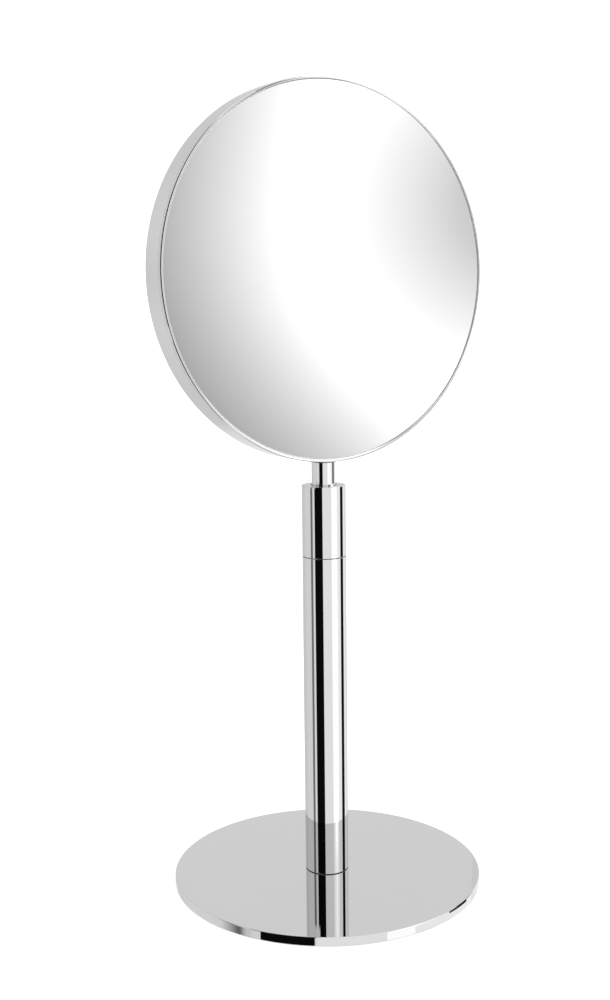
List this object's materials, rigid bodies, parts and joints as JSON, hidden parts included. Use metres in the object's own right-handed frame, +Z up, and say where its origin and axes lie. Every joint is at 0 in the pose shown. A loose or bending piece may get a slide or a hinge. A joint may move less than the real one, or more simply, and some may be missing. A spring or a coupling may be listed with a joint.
{
  "type": "shaving mirror",
  "caption": "Free-standing round shaving mirror in polished chrome: disc base, telescopic stand with twist-lock collar, tilting shallow round head.",
  "frame": {"origin": "centre of the base's underside, on the surface it stands on", "axes": "+Z up along the stand, the mirror faces -Y, +X to the right of someone who looks at the mirror along +Y"},
  "size_m": [0.182, 0.156, 0.3975],
  "materials": {
    "chrome": "mirror-polished chrome plate",
    "mirror": "silvered concave glass",
    "brass": "turned brass",
    "steel": "zinc-plated steel",
    "rubber": "matt black rubber",
    "nylon": "natural nylon",
    "black_plastic": "matt black plastic",
    "film": "grey safety film",
    "foam": "grey closed-cell foam"
  },
  "bodies": {
    "root": {"base_plate": "chrome", "non_slip_pad": "rubber", "base_screw": "steel", "locating_pin": "steel", "foot_gasket": "rubber", "foot_plug": "brass", "bottom_buffer": "rubber", "lower_tube": "chrome", "threaded_bushing": "brass", "seam_washer": "black_plastic", "collet": "nylon"},
    "collar": {"collar": "chrome", "wiper_ring": "rubber"},
    "slider": {"slider": "nylon", "slider_o_ring": "rubber"},
    "rod": {"rod_tube": "chrome", "rod_plug": "brass", "slider_screw": "steel", "knuckle": "steel"},
    "head": {"casing": "chrome", "bezel_ring": "chrome", "mirror_glass": "mirror", "safety_film": "film", "mirror_carrier": "black_plastic", "foam_ring": "foam", "hinge_bracket": "steel", "bracket_stud_left": "steel", "bracket_stud_right": "steel", "bracket_nut_left": "steel", "bracket_nut_right": "steel", "pivot_screw": "steel", "spring_washer": "steel", "pivot_nut": "steel", "friction_washer_left": "black_plastic", "friction_washer_right": "black_plastic"}
  },
  "joints": [
    {"name": "rod_slide", "type": "slide", "parent": "root", "child": "slider", "axis": [0, 0, 1], "range_m": [0, 0.115]},
    {"name": "rod_turn", "type": "hinge", "parent": "slider", "child": "rod", "pos_m": [0, 0, 0.1], "axis": [0, 0, 1], "continuous": true},
    {"name": "head_tilt", "type": "hinge", "parent": "rod", "child": "head", "pos_m": [0, 0, 0.225], "axis": [1, 0, 0], "range_deg": [-30, 10]},
    {"name": "collar_twist", "type": "hinge", "parent": "root", "child": "collar", "pos_m": [0, 0, 0.185], "axis": [0, 0, 1], "range_deg": [0, 120]}
  ]
}
